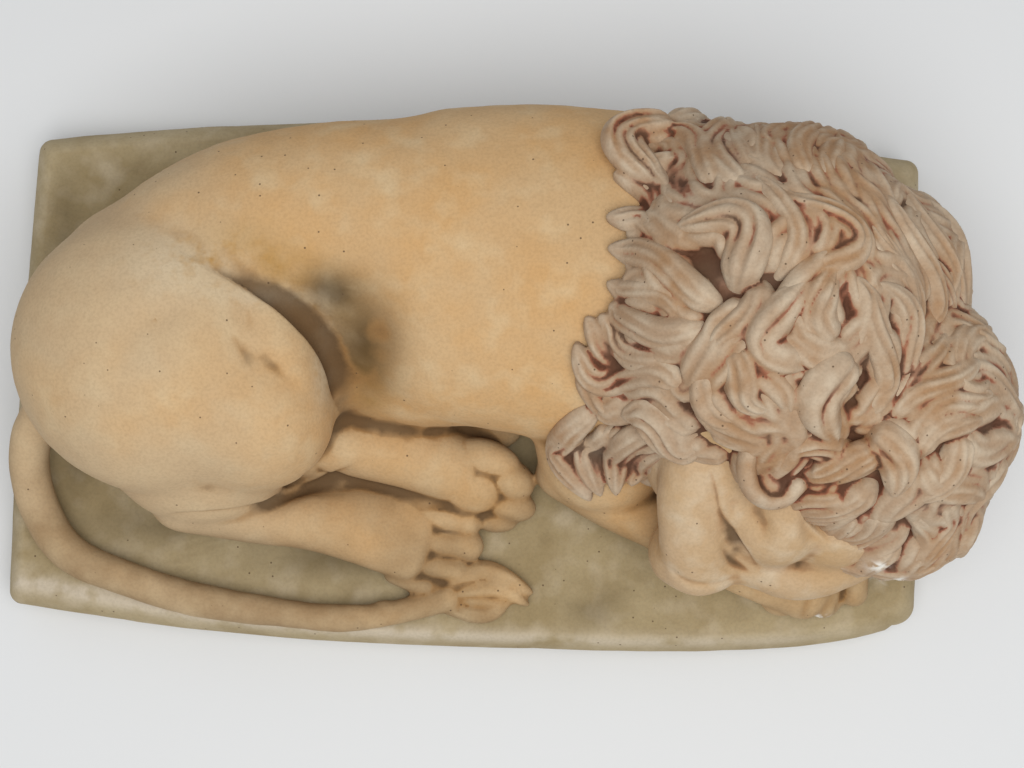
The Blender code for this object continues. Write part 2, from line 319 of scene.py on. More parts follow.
def hairShare(points):
    # 1 well inside the hair, 0 outside it
    inFace = np.clip((points[:, 1] - edgeAt(faceEdge, points[:, 0]) - 5) / 8, 0, 1)
    inBack = np.clip((points[:, 0] - edgeAt(backEdge, points[:, 1]) - 16) / 12, 0, 1)
    return inFace * inBack


# Locks of hair, for the mane and for the end of the tail

mane = {
    "thickness": 0.46,  # of a lock's width
    "underThickness": 0.42,
    "strandDepth": 0.42,  # of a lock's thickness
    "crownWidth": 1.12,  # times the widths listed
    "underWidth": 14,  # mm, as are the rest
    "underSpacing": 7.6,
    "bodyBelow": 3.5,  # how far the skins lie under the hair
    "headBelow": 8,
    "groundBelow": 0.6,
    "clear": 260,  # from its middle, outside all of it
    "lineSteps": 14,
    "tries": 24000,
    "seed": 7,
}


def alongLock(line, rows):
    # places, outward and sideways directions at even steps of a lock's line
    both = spline([(*p, *n) for p, n in line], rows)
    places, normals = both[:, :3], both[:, 3:]
    normals /= np.linalg.norm(normals, axis=1)[:, None]
    along = np.gradient(places, axis=0)
    across = np.cross(normals, along)
    across /= np.linalg.norm(across, axis=1)[:, None]
    return places, normals, across


def swell(t):
    # a lock's width along its run: narrow root, full body, drawn-in tip
    full = 0.45 + 0.55 * math.sin(math.pi * min(1, 0.12 + t * 0.8)) ** 0.8
    full *= math.sqrt(min(1, 0.1 + t * 5))
    if t > 0.72:
        full *= math.sqrt(max(0.02, 1 - ((t - 0.72) / 0.285) ** 2))
    return full


def rise(t):
    # a lock's run comes up out of the ground at its root and lifts a little toward its tip
    return 0.3 * t - 0.7 * max(0, 1 - t * 7)


def addLock(bm, line, width, thickness, strands, chance, rows=30):
    # a flattish clump sunk into the ground, its upper side waved into strands that end one after another
    places, normals, across = alongLock(line, rows)
    phase, lean = chance.uniform(0, 6), chance.choice((-1, 1)) * chance.uniform(0.12, 0.32)
    u = np.cos(np.linspace(0, math.pi, 26))
    edge = np.maximum(1 - np.abs(u) ** 2.6, 0) ** 0.55
    heights = [chance.uniform(0.78, 1.12) for k in range(strands)]
    which = np.clip(((1 - u) / 2 * strands).astype(int), 0, strands - 1)
    uneven = np.array(heights)[which]
    rings = []
    for k in range(rows + 1):
        t = k / rows
        size = swell(t)
        wander = 0.22 * math.sin(2 * math.pi * t + phase)
        wave = np.abs(np.sin(math.pi * strands / 2 * (1 - u + wander))) ** 0.7
        depth = mane["strandDepth"] * (0.5 + 0.5 * t)
        top = thickness * (0.25 + 0.75 * size) * edge * uneven**0.5 * (1 - depth * (1 - wave))
        x = u * width / 2 * size
        z = top + x * lean * math.sin(math.pi * t)
        middle = places[k] + normals[k] * thickness * rise(t)
        ring = middle + np.outer(x, across[k]) + np.outer(z, normals[k])
        low = [
            middle + across[k] * width / 2 * size * c * 0.9 - normals[k] * d
            for c, d in ((-0.8, 5), (0, 7), (0.8, 5))
        ]
        rings.append(np.vstack([ring, low]))
    addRings(bm, rings)


# Legs, paws and tail

hindFeet = {
    "nearLeg": [  # x, y, z, half width, half height
        (-134, -60, 26, 18, 24),
        (-104, -67, 21, 15, 18),
        (-74, -70, 18, 15, 15),
        (-46, -73, 14, 20, 13),
        (-24, -79, 11, 22, 11),
    ],
    "nearToes": (  # root, tip, half width, half height
        ((-24, -66, 12), (2, -69, 9), 7.5, 9),
        ((-26, -78, 11), (3, -81, 8), 7.5, 8.5),
        ((-28, -88, 9), (-3, -93, 7), 6.5, 7.5),
        ((-34, -96, 7), (-18, -102, 5), 5.5, 6.5),
    ),
    "farLeg": [
        (-84, -33, 23, 17, 21),
        (-56, -31, 23, 18, 21),
        (-30, -36, 20, 18, 19),
        (-4, -43, 17, 18, 16),
    ],
    "farToes": (  # middle, half sizes, turn
        ((10, -38, 20), (18, 10, 12), -14),
        ((22, -48, 15), (13, 10, 13), -24),
        ((22, -60, 10), (14, 8.5, 11), -14),
        ((16, -68, 6), (11, 6.5, 8), -6),
        ((4, -50, 14), (18, 16, 15), 0),
    ),
}

tail = {
    "line": [
        (-196, -8, 44, 10, 12),
        (-211, -36, 24, 10, 12),
        (-211, -62, 10, 10, 9),
        (-195, -88, 8, 9.5, 9),
        (-166, -101, 8, 9, 9),
        (-128, -111, 7.5, 8.5, 8.5),
        (-91, -116, 7, 7.5, 8),
        (-57, -118, 7, 7, 7.5),
        (-30, -114, 6, 6.5, 7),
        (-6, -107, 6, 7, 7),
    ],
    "tuft": (  # root, middle, tip, width
        ((-14, -104, 4), (10, -93, 4), (36, -104, 3), 10),
        ((-12, -107, 4), (16, -101, 5), (34, -110, 3), 9),
        ((-14, -110, 3), (10, -115, 3), (24, -109, 3), 9),
        ((-12, -107, 2), (10, -107, 3), (28, -107, 2), 10),
    ),
    "tuftThickness": 7,
}

foreleg = {
    "line": [
        (48, -44, 20, 13, 18),
        (72, -57, 18, 14, 16),
        (100, -68, 17, 15, 15),
        (136, -84, 17, 17, 15),
        (170, -92, 15, 22, 13),
    ],
    "toes": ((157, -103, 10.5), (178, -103, 9.5), (193, -99, 7)),  # x, y, half width
}


def limbForms(bm):
    limb(bm, hindFeet["nearLeg"])
    limb(bm, hindFeet["farLeg"])
    ball(bm, (-30, -22, 6), (60, 20, 14))  # ground between the legs and the belly
    ball(bm, (-34, -54, 7), (54, 12, 11))
    ball(bm, (-10, -56, 10), (34, 10, 11))
    ball(bm, (-72, -48, 8), (34, 14, 15))
    ball(bm, (-98, 11, 70), (22, 24, 34))  # fullness of the knee toward the flank
    limb(bm, [(-94, 23, 68, 19, 35), (-83, 8, 66, 19, 34), (-77, -14, 60, 17, 32)])
    ball(bm, (6, -50, 10), (16, 14, 12))  # behind the far toes
    limb(bm, tail["line"])
    limb(bm, foreleg["line"])


def smallForms(bm):
    # toes, and the end of the tail
    for root, tip, wide, high in hindFeet["nearToes"]:
        limb(bm, [(*root, wide * 0.9, high * 0.9), (*tip, wide, high)], steps=4)
    for at, size, turn in hindFeet["farToes"]:
        ball(bm, at, size, (0, 0, turn))
    for x, y, wide in foreleg["toes"]:
        limb(bm, [(x, y + 14, 13, wide * 0.9, 10), (x, y, 9, wide, 9)], steps=4)
    ball(bm, (-37, -112, 6), (7, 4, 5))  # fullness of the tail before its tuft
    ball(bm, (-14, -104, 4), (9, 7, 6))


def addTo(obj, forms, voxel, passes):
    # more closed shapes fused onto an object
    bm = bmesh.new()
    bm.from_mesh(obj.data)
    for form in forms:
        form(bm)
    bm.to_mesh(obj.data)
    bm.free()
    fuse(obj, voxel, passes)


# Lines cut into the body, as plan points, width, depth and the side that lies low
bodyLines = (
    ([(-118, 44), (-92, 31), (-76, 19), (-65, 5), (-59, -16)], 11, 4.5, 1),  # knee against the flank
    ([(-107, 15), (-101, 8), (-96, 0), (-95, -7)], 3, 0.6, 0),  # crease on the kneecap
    ([(-158, 2), (-140, 15), (-119, 28)], 9, 1.6, 0),  # furrow over the haunch
    ([(-50, -42), (-76, -54), (-104, -66), (-140, -70)], 6, 3.2, 1),  # knee over the near shin
    ([(-78, -46), (-31, -55), (14, -68)], 2.5, 1.6, 0),  # between the feet
    ([(166, -114), (168, -104), (170, -96)], 2.2, 2.0, 0),  # toes of the forepaw
    ([(184, -110), (186, -102), (187, -94)], 2.2, 1.8, 0),
)
# Soft hollows, and swellings where the depth is negative: middle, reach and depth
bodyDents = (
    ((-41, 12, 76), (15, 27, through), 7),  # hollow of the flank
    ((-84, -24, 98), (20, 24, 22), -2),  # fullness of the knee
    ((-86, 7, 98), (7, 9, 40), -1.3),
    ((-153, -55, 36), (2.2, 2.2, 2.2), 2.5),  # knock by the heel
)


def tuftForms(bm):
    # curls at the end of the tail, lying on the plinth
    chance = random.Random(3)
    for root, mid, tip, width in tail["tuft"]:
        line = [(Vector(p), Vector((0, 0, 1))) for p in spline([root, mid, tip], 8)]
        addLock(bm, line, width, tail["tuftThickness"], 2, chance)


print("lion: legs and tail")
addTo(body, (limbForms,), cast["limbVoxel"], 8)
addTo(body, (smallForms, tuftForms), cast["bodyVoxel"], 4)
points, normals = pointsOf(body)
tree = skinOf(body)
for route, width, depth, lowSide in bodyLines:
    carve(points, normals, tree, route, width, depth, lowSide)
for at, size, depth in bodyDents:
    dent(points, normals, at, size, depth)
undulate(points, normals, ((30, 0.7), (9, 0.25)))
setPoints(body, points - normals * (mane["bodyBelow"] * hairShare(points))[:, None])
soften(body, 2)
thinTo(body, cast["bodyTriangles"])


# The head, turned to the near side with the chin on the forepaw, its eye closed

skull = {
    "forehead": [
        (112, -38, 84, 21, 18),
        (109, -57, 79, 19, 16),
        (110, -73, 66, 18, 16),
        (113, -84, 50, 20, 18),
    ],
    "jaw": [
        (128, -79, 54, 11, 15),
        (141, -85, 45, 13, 17),
        (164, -89, 38, 14, 18),
        (194, -79, 40, 12, 14),
    ],
}


def headForms(bm):
    ball(bm, (126, -34, 60), (42, 36, 42))
    limb(bm, skull["forehead"])
    ball(bm, (113, -81, 44), (24, 20, 27))  # muzzle
    ball(bm, (114, -78, 26), (22, 18, 18))  # chin
    ball(bm, (133, -52, 72), (20, 22, 22))  # cheekbone and cheek
    ball(bm, (146, -61, 64), (26, 26, 30))
    limb(bm, skull["jaw"])
    ball(bm, (174, -62, 52), (30, 26, 32))  # back of the jaw, and under it
    ball(bm, (148, -70, 34), (44, 22, 24))


# Lines and hollows of the face, given like those of the body
headLines = (
    # brow over the eye
    ([(111, -40), (115, -51), (118, -61), (123, -69), (130, -78), (139, -88)], 6, 1.8, -1),
    ([(105, -58), (109, -63), (115, -69), (121, -76)], 5, 1.6, 0),  # shut eye
    ([(129, -50), (134, -60), (138, -70), (138, -78)], 5, 2.2, 0),  # between brow and cheekbone
    ([(157, -56), (159, -66), (164, -75)], 5, 3.0, 0),  # hollow beside the mane
    ([(96, -88), (106, -95), (118, -96), (130, -92)], 2.5, 1.3, 0),  # nose above the lip
    ([(120, -78), (128, -86), (138, -92)], 2.2, 1.2, 0),  # corner of the mouth
)
headDents = (
    ((137, -67, 84), (7, 8, 8), 1.8),  # hollow before the cheekbone
    ((104, -95, 42), (2.6, 3, 2.6), 2),  # nostrils
    ((120, -98, 38), (2.6, 3, 2.6), 2),
    ((118, -92, 54), (7, 5, 6), -1.5),  # ridge of the nose
)

print("lion: head")
bm = bmesh.new()
headForms(bm)
head = meshObject("lionHead", bm)
fuse(head, cast["headMassVoxel"], 9)
fuse(head, cast["headVoxel"], 3)
points, normals = pointsOf(head)
tree = skinOf(head)
for route, width, depth, lowSide in headLines:
    carve(points, normals, tree, route, width, depth, lowSide)
for at, size, depth in headDents:
    dent(points, normals, at, size, depth)
undulate(points, normals, ((18, 0.7), (6, 0.2)))
setPoints(head, points - normals * (mane["headBelow"] * hairShare(points))[:, None])
thinTo(head, cast["headTriangles"])


# The mane: locks swept over the ground that the large masses give

# Locks seen from above: root x, y, tip x, y, width, bow to the left, sway, strands
crownLocks = (
    (130, 118, 90, 116, 14, -3, 0, 3),
    (112, 73, 86, 110, 17, -11, 1, 3),
    (103, 112, 93, 79, 20, -28, 0, 4),
    (98, 62, 70, 86, 12, -6, 2, 2),
    (89, 62, 66, 88, 12, -7, 0, 2),
    (91, 50, 63, 68, 13, -8, -1, 3),
    (113, 24, 64, 54, 15, -4, 2, 3),
    (98, 18, 64, 39, 12, -5, -2, 3),
    (108, 18, 66, 30, 15, 8, 1, 3),
    (96, 4, 61, 25, 13, 5, 2, 3),
    (78, 4, 55, 24, 11, 4, 1, 2),
    (101, -13, 51, 13, 16, 1, -7, 3),
    (79, -17, 52, -1, 11, 5, 1, 2),
    (111, -32, 75, -16, 20, -2, 3, 4),
    (66, -13, 62, -55, 13, -18, 0, 3),
    (76, -24, 66, -53, 13, -12, 0, 3),
    (97, -22, 72, -52, 14, -11, 0, 3),
    (103, -32, 78, -48, 14, -7, 0, 3),
    (84, -32, 101, -40, 11, -9, 0, 2),
    (146, -20, 139, -50, 14, 4, 2, 2),
    (125, 72, 127, 120, 15, 15, -1, 3),
    (129, 84, 124, 112, 12, 6, 0, 3),
    (144, 77, 134, 118, 13, 6, 2, 3),
    (150, 77, 166, 116, 13, 9, 1, 3),
    (160, 76, 167, 112, 12, 4, 3, 2),
    (169, 78, 178, 102, 12, 8, 2, 2),
    (116, 30, 96, 59, 20, -20, 2, 3),
    (133, 36, 126, 82, 15, -15, -2, 3),
    (137, 37, 136, 72, 18, -28, -2, 3),
    (146, 44, 142, 66, 14, -10, 0, 3),
    (153, 1, 146, 36, 16, 19, 3, 2),
    (161, 9, 158, 42, 17, 9, 0, 3),
    (168, 9, 166, 39, 12, -6, 0, 2),
    (128, 14, 142, -16, 13, -4, -3, 2),
    (170, 8, 163, -25, 20, -12, 2, 2),
    (178, -23, 173, 35, 15, -6, -3, 3),
    (118, 11, 134, -15, 16, -5, 2, 3),
    (108, 4, 127, -20, 13, -10, 0, 2),
    (187, -20, 214, 19, 14, 2, 2, 3),
    (188, -23, 228, 6, 14, 5, 2, 3),
    (195, -26, 235, -7, 14, 6, 2, 3),
    (202, -38, 229, -17, 13, 7, 2, 3),
    (190, -5, 176, 37, 14, -9, 2, 3),
    (196, 15, 173, 66, 14, -4, -3, 3),
    (206, 16, 182, 76, 14, -8, -3, 3),
    (214, 20, 199, 52, 13, -8, 0, 3),
    (178, -24, 192, -49, 17, 8, 0, 3),
    (176, -34, 145, -32, 16, -3, 2, 3),
    (173, -41, 146, -43, 16, 5, 2, 3),
    (175, -48, 150, -60, 15, -2, 2, 3),
    (178, -56, 159, -72, 15, 1, 2, 3),
    (190, -55, 184, -81, 15, -2, 3, 3),
    (202, -55, 206, -86, 14, 12, 0, 3),
    (214, -48, 213, -81, 14, 8, 2, 3),
    (229, -45, 233, -79, 15, 3, 2, 3),
    (246, -28, 230, -68, 16, -3, 3, 3),
    (257, 0, 249, -28, 14, -4, 2, 3),
    (248, 26, 216, -1, 15, -6, 2, 3),
    (234, -74, 206, -88, 13, 5, 0, 3),
    (232, 22, 205, 84, 15, -6, 3, 3),
    (241, 4, 229, 58, 14, -6, -2, 3),
    (222, 20, 191, 90, 13, -5, -3, 3),
    (196, 84, 168, 112, 13, -4, 2, 3),
    (128, 38, 109, 7, 14, 4, 2, 3),
    (222, -22, 204, -52, 14, 4, 0, 3),
    (177, 40, 168, 10, 12, 3, 0, 2),
    (186, -30, 152, -38, 17, 5, 0, 4),
    (186, -46, 153, -56, 16, 6, 0, 4),
    (192, -58, 156, -69, 15, 6, 0, 3),
    (204, -70, 166, -83, 15, 7, 0, 3),
)


def lockLine(row):
    # places and outward directions along a lock listed above
    x0, y0, x1, y1, width, bow, sway, strands = row
    side = Vector((y0 - y1, x1 - x0)).normalized()
    out = []
    for k in range(mane["lineSteps"] + 1):
        t = k / mane["lineSteps"]
        aside = bow * math.sin(math.pi * t) + sway * math.sin(2 * math.pi * t)
        x = x0 + (x1 - x0) * t + side.x * aside
        y = y0 + (y1 - y0) * t + side.y * aside
        out.append(onSkin(skin, x, y, 14))
    return out


def hangingLine(centre, azimuth, top, drop, sway):
    # a lock that hangs down the outside of the mane, all given as angles about its centre
    out = []
    for k in range(mane["lineSteps"] + 1):
        t = k / mane["lineSteps"]
        a = math.radians(azimuth + sway * math.sin(2 * math.pi * t))
        e = math.radians(top - drop * t)
        way = Vector((math.cos(a) * math.cos(e), math.sin(a) * math.cos(e), math.sin(e)))
        hit, normal, _, _ = skin.ray_cast(centre + way * mane["clear"], -way)
        if hit is None:
            hit, normal, _, _ = skin.find_nearest(centre + way * 90)
        out.append((hit, normal))
    return out


def flowKd(lines):
    # which way the hair runs near any place
    rows = []
    for line in lines:
        for k in range(1, len(line)):
            rows.append((line[k][0], (line[k][0] - line[k - 1][0]).normalized()))
    tree = KDTree(len(rows))
    for k, (place, way) in enumerate(rows):
        tree.insert(place, k)
    tree.balance()
    return tree, rows


def underLine(start, tree, rows, length, sway, chance):
    # a short lock that follows the hair round it
    place, normal, _, _ = skin.find_nearest(start)
    out = [(place, normal)]
    turn = chance.uniform(-1, 1) * sway
    for k in range(8):
        way = Vector((0, 0, 0))
        for at, which, far in tree.find_n(place, 5):
            way += rows[which][1] / (4 + far)
        way = way - normal * way.dot(normal)
        if way.length < 1e-6:
            break
        way.normalize()
        bend = math.radians(turn * math.cos(math.pi * k / 4))
        way = Matrix.Rotation(bend, 3, normal) @ way
        place, normal, _, _ = skin.find_nearest(place + way * length / 8)
        out.append((place, normal))
    return out


def maneCovers(p):
    # whether hair grows here: above the plinth, behind the face and before the back's edge
    return p.z > 12 and p.y > edgeAt(faceEdge, p.x) and p.x > edgeAt(backEdge, p.y)


def scatterSpots(centre, chance):
    # even-spaced places on the ground of the mane
    spacing = mane["underSpacing"]
    spots = np.full((1, 3), 1e6)
    for k in range(mane["tries"]):
        a, z = chance.uniform(-math.pi, math.pi), chance.uniform(-0.6, 1)
        flat = math.sqrt(1 - z * z)
        way = Vector((math.cos(a) * flat, math.sin(a) * flat, z))
        hit, normal, _, _ = skin.ray_cast(centre + way * mane["clear"], -way)
        if hit is None or np.abs(spots - hit).max(axis=1).min() < spacing * 0.55:
            continue
        if np.linalg.norm(spots - hit, axis=1).min() > spacing and maneCovers(hit):
            spots = np.vstack([spots, hit])
    return [Vector(p) for p in spots[1:]]


def earForms(bm):
    # a crescent rim round a hollow
    rim = [(129, -30, 115), (127, -42, 112), (130, -51, 107)]
    rim += [(137, -56, 103), (145, -55, 102), (151, -49, 104)]
    limb(bm, [(*p, 4.6, 7) for p in rim], sides=16)
    ball(bm, (138, -48, 101), (9, 10, 9))


print("mane: crown locks")
chance = random.Random(mane["seed"])
bm = bmesh.new()
lines = []
for row in crownLocks:
    line = lockLine(row)
    lift = chance.uniform(0, 2.5)
    line = [(p + n * lift, n) for p, n in line]
    lines.append(line)
    width = mane["crownWidth"] * row[4]
    addLock(bm, line, width, width * mane["thickness"], row[7], chance)
earForms(bm)
crown = meshObject("maneCrown", bm)
fuse(crown, cast["crownVoxel"], 1)
thinTo(crown, cast["crownTriangles"])

print("mane: under locks")
bm = bmesh.new()
for at, size in maneMasses:
    ball(bm, at, size)
under = meshObject("maneUnder", bm)
fuse(under, cast["massVoxel"], 14, subdivide=1)
points, normals = pointsOf(under)
setPoints(under, points - normals * mane["groundBelow"])
bm = bmesh.new()
bm.from_mesh(under.data)
centre = Vector((146, 16, 60))
# Degrees of the top, the drop and the first and last azimuth, and how many locks
hangingRows = ((34, 30, -38, 92, 11), (16, 32, -50, 98, 12), (-4, 34, -52, 98, 12))
for top, drop, first, last, count in hangingRows:
    for k in range(count):
        azimuth = first + (last - first) * (k + chance.uniform(-0.2, 0.2)) / (count - 1)
        sway = chance.choice((-1, 1)) * chance.uniform(3, 6)
        line = hangingLine(centre, azimuth, top + chance.uniform(-4, 4), drop, sway)
        lines.append(line)
        addLock(bm, line, chance.uniform(16, 21), 8, 3, chance)
tree, rows = flowKd(lines)
starts = scatterSpots(centre, chance)
for spot in starts:
    line = underLine(spot, tree, rows, chance.uniform(30, 46), 30, chance)
    while line and not maneCovers(line[-1][0]):
        line.pop()
    if len(line) > 4:
        width = mane["underWidth"] * chance.uniform(0.85, 1.2) * (0.6 + 0.05 * len(line))
        addLock(bm, line, width, width * mane["underThickness"], 2, chance, rows=18)
bm.to_mesh(under.data)
bm.free()
fuse(under, cast["underVoxel"], 1)
thinTo(under, cast["underTriangles"])
print("mane:", len(lines), "locks over", len(starts), "small ones")


# The plinth: a slab with bowed sides, small round corners and a sloped rim

plinth = {
    "length": 458,  # mm
    "width": 266,
    "height": 1000 * cast["plinthHeight"],
    "farBow": 14,
    "nearBow": 16,
    "shortBow": 2,
    "rearSkew": 6,
    "corner": 7,
    "nearRightCorner": 11,
    "rimWidth": 8.5,
    "rimDrop": 10,
    "shift": 1.0,  # toward the far side
    "cornerSteps": 10,
    "sideSteps": 60,
    "endSteps": 36,
    "topRings": 45,
}


def plinthOutline(inset):
    # points anticlockwise from the near right corner
    arc, sidePoints, endPoints = plinth["cornerSteps"], plinth["sideSteps"], plinth["endSteps"]
    halfL, halfW = plinth["length"] / 2 - inset, plinth["width"] / 2 - inset
    cornerX = halfL - plinth["shortBow"]
    points = []
    for sx, sy, first in ((1, -1, -90), (1, 1, 0), (-1, 1, 90), (-1, -1, 180)):
        size = plinth["nearRightCorner"] if sx > 0 > sy else plinth["corner"]
        radius = max(size - inset * 0.3, 2)
        cornerY = halfW - (plinth["nearBow"] if sy < 0 else plinth["farBow"])
        skew = plinth["rearSkew"] if sx < 0 < sy else 0
        for k in range(arc + 1):
            a = math.radians(first + 90 * k / arc)
            x = sx * (cornerX - radius) + radius * math.cos(a) + skew
            points.append((x, sy * (cornerY - radius) + radius * math.sin(a)))
        if sx > 0 > sy or sx < 0 < sy:
            other = halfW - (plinth["farBow"] if sy < 0 else plinth["nearBow"])
            for k in range(1, endPoints):
                t = k / endPoints
                y = sy * (cornerY - radius) * (1 - t) - sy * (other - radius) * t
                bow = plinth["shortBow"] * (1 - (2 * t - 1) ** 2)
                points.append((sx * (cornerX + bow) + skew * (1 - t), y))
        else:
            for k in range(1, sidePoints):
                t = sx * (1 - 2 * k / sidePoints)
                power = 5 if sy < 0 < t else 2
                bow = (plinth["nearBow"] if sy < 0 else plinth["farBow"]) * (1 - abs(t) ** power)
                x = t * (cornerX - radius) + (plinth["rearSkew"] * max(0, -t) if sy > 0 else 0)
                points.append((x, sy * (cornerY + bow)))
    return np.array(points)


def buildPlinth():
    # rings from the underside up the sides, over the rim and inward across the top
    top, drop, rim = plinth["height"], plinth["rimDrop"], plinth["rimWidth"]
    rings = []
    for inset, z in ((2, 0), (0.6, 1), (0, 4)):
        rings.append((plinthOutline(inset), z))
    for k in range(1, 8):
        rings.append((plinthOutline(0), 4 + (top - drop - 5) * k / 7))
    for k in range(11):
        t = k / 10
        z = top - drop * (1 - math.sin(math.pi / 2 * t) ** 0.8)
        rings.append((plinthOutline(0.4 + rim * t), z))
    edge = plinthOutline(rim + 1)
    for k in range(plinth["topRings"] - 1):
        rings.append((edge * (1 - k / plinth["topRings"]), top))
    bm = bmesh.new()
    addRings(bm, [[(x, y + plinth["shift"], z) for x, y in outline] for outline, z in rings])
    return meshObject("plinthBlock", bm)


print("plinth")
block = buildPlinth()
points, normals = pointsOf(block)
for k, p in enumerate(points):
    if p[2] > 1:
        place = Vector(p)
        wave = 0.5 * noise.noise(place / 38) + 0.22 * noise.noise(place / 9)
        points[k] = p + normals[k] * (wave - 0.2)
setPoints(block, points)


# Masks for the colouring: what lies in hollows, what stands proud, staining, and patches of painted shade
# and painted highlight


def paint(obj, name, values):
    mask = obj.data.attributes.new(name, "FLOAT", "POINT")
    mask.data.foreach_set("value", values.astype(np.float32))


def hollows(obj, rounds, reach):
    # how far each point lies below (over 0) or above the mean of its surroundings, as a share of reach
    points, normals = pointsOf(obj)
    ends = np.empty(len(obj.data.edges) * 2, np.int32)
    obj.data.edges.foreach_get("vertices", ends)
    a, b = ends[::2], ends[1::2]
    count = np.bincount(ends, minlength=len(points))[:, None]
    mean = points.copy()
    for k in range(rounds):
        total = np.empty_like(mean)
        for axis in range(3):
            total[:, axis] = np.bincount(a, mean[b, axis], len(points))
            total[:, axis] += np.bincount(b, mean[a, axis], len(points))
        mean = total / np.maximum(count, 1)
    return ((mean - points) * normals).sum(axis=1) / reach


def patch(points, at, size):
    # a soft-edged spot, 1 in its middle
    away = (points - np.array(at)) / np.array(size)
    return np.exp(-(away**2).sum(axis=1))


def along(points, route, width):
    # a soft-edged band along a route
    d, share, side = strokeOf(points, spline(route, 4 * (len(route) - 1)))
    return np.exp(-((d / width) ** 2))


# Stained places and places of painted shade and highlight: soft spots given by middle and reach, and
# bands by route and half width
stainsAndPaintedLight = {
    "ochre": ([(-117, 50), (-98, 50), (-74, 38), (-56, 26), (-48, 4), (-48, -14)], 12),
    # painted shade: a dark patch in the hollow where the body draws in before the knee
    "flank": [((-46, 11, 0), (17, 24, through)), ((-62, 34, 0), (13, 10, through))],
    "worn": [
        ((-125, 44, 0), (26, 16, through)),
        ((-88, 30, 0), (20, 5, through)),
        ((-64, 2, 0), (4, 20, through)),
    ],
    # painted shade on the plinth beside the legs, the tail, the forepaw and the rump, where they shade it
    "dirt": [
        ((-150, -74, 0), (44, 12, through)),
        ((-62, -90, 0), (42, 9, through)),
        ((-192, -46, 0), (10, 24, through)),
        ((66, -108, 0), (13, 12, through)),
        ((-205, 60, 0), (8, 40, through)),
    ],
    # painted highlight: a pale band along the arris of the near rim, the side the light falls on
    "rim": ([(-226, -103, 36), (-108, -121, 36), (20, -128, 36), (120, -129, 36), (205, -125, 36)], 5),
    "chip": [
        ((176, -111, 9), (3.5, 3, 4)),
        ((194, -85, 60), (4, 2, 16)),
        ((207, -92, 46), (3, 1.6, 16)),
    ],
}


def patchesOf(points, kind):
    return sum(patch(points, at, size) for at, size in stainsAndPaintedLight[kind])


print("colouring masks")
# Beside each piece stands the relief in mm that counts as a full hollow
for piece, fine in ((body, 0.5), (head, 0.4), (crown, 0.6), (under, 0.6), (block, 0.5)):
    points, normals = pointsOf(piece)
    near = hollows(piece, 8, fine)
    wide = hollows(piece, 60, 3 * fine)
    wideShare = 1.3 if piece in (crown, under) else 0.25  # the wash and the painted shade reach further between locks
    paint(piece, "hollow", np.clip(0.6 * near + wideShare * wide, 0, 1))
    paint(piece, "proud", np.clip(-0.7 * near - 0.3 * wide, 0, 1))
    paint(piece, "chip", np.clip(patchesOf(points, "chip") * 2, 0, 1))
    if piece in (body, head):
        route, width = stainsAndPaintedLight["ochre"]
        laid = [(x, y, onSkin(skin, x, y)[0].z) for x, y in route]
        paint(piece, "ochre", along(points, laid, width))
        # painted shade in the hollow before the knee
        paint(piece, "flank", np.clip(patchesOf(points, "flank"), 0, 1))
        paint(piece, "worn", np.clip(patchesOf(points, "worn"), 0, 1))
        # the rump, and what lies near the plinth
        rear = 1 / (1 + np.exp((points[:, 0] + 95 + 0.3 * points[:, 1]) / 14))
        low = 1 / (1 + np.exp((points[:, 2] - 26) / 6))
        paint(piece, "rear", rear)
        paint(piece, "low", low)
    if piece == block:
        # painted shade on the plinth beside the figure
        paint(piece, "dirt", np.clip(patchesOf(points, "dirt"), 0, 1))
        # painted highlight along the near rim
        route, width = stainsAndPaintedLight["rim"]
        paint(piece, "rim", along(points, route, width))


# Into the shared frame, in metres, each piece standing for its share of the solid

for piece in (body, head, crown, under):
    piece.data.transform(Matrix.Translation((0, 0, cast["plinthHeight"])) @ Matrix.Scale(unit, 4))
block.data.transform(Matrix.Scale(0.001, 4))  # from mm
for piece in (body, head, crown, under, block):
    for face in piece.data.polygons:
        face.use_smooth = True
    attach(piece, "root")
    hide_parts("lion_on_plinth")


# Materials


def hexColour(text):
    # sRGB hex to the linear values that shaders take
    values = [int(text[i : i + 2], 16) / 255 for i in (1, 3, 5)]
    return (*(v / 12.92 if v <= 0.04045 else ((v + 0.055) / 1.055) ** 2.4 for v in values), 1)


def addNode(tree, kind, inputs=None, **settings):
    made = tree.nodes.new(kind)
    for key, value in settings.items():
        setattr(made, key, value)
    for key, value in (inputs or {}).items():
        if isinstance(value, bpy.types.NodeSocket):
            tree.links.new(value, made.inputs[key])
        else:
            made.inputs[key].default_value = value
    return made


def maskOf(tree, name):
    return addNode(tree, "ShaderNodeAttribute", attribute_name=name).outputs["Fac"]


def grain(tree, size, low, high, detail=2, offset=0):
    # noise with features of a size in mm, spread between 0 and 1
    place = addNode(tree, "ShaderNodeTexCoord").outputs["Object"]
    aside = {"Vector": place, "Location": (offset, offset * 0.7, 0)}
    moved = addNode(tree, "ShaderNodeMapping", aside).outputs["Vector"]
    cloud = addNode(tree, "ShaderNodeTexNoise", {"Vector": moved, "Scale": 1000 / size, "Detail": detail})
    return span(tree, cloud.outputs["Fac"], low, high)


def span(tree, value, low, high, start=0.0, end=1.0):
    inputs = {"Value": value, "From Min": low, "From Max": high, "To Min": start, "To Max": end}
    return addNode(tree, "ShaderNodeMapRange", inputs).outputs["Result"]


def times(tree, a, b, kind="MULTIPLY"):
    return addNode(tree, "ShaderNodeMath", {0: a, 1: b}, operation=kind, use_clamp=True).outputs[0]


def tint(tree, base, over, share):
    colours = {"Factor": share, 6: base, 7: over}
    return addNode(tree, "ShaderNodeMix", colours, data_type="RGBA").outputs[2]


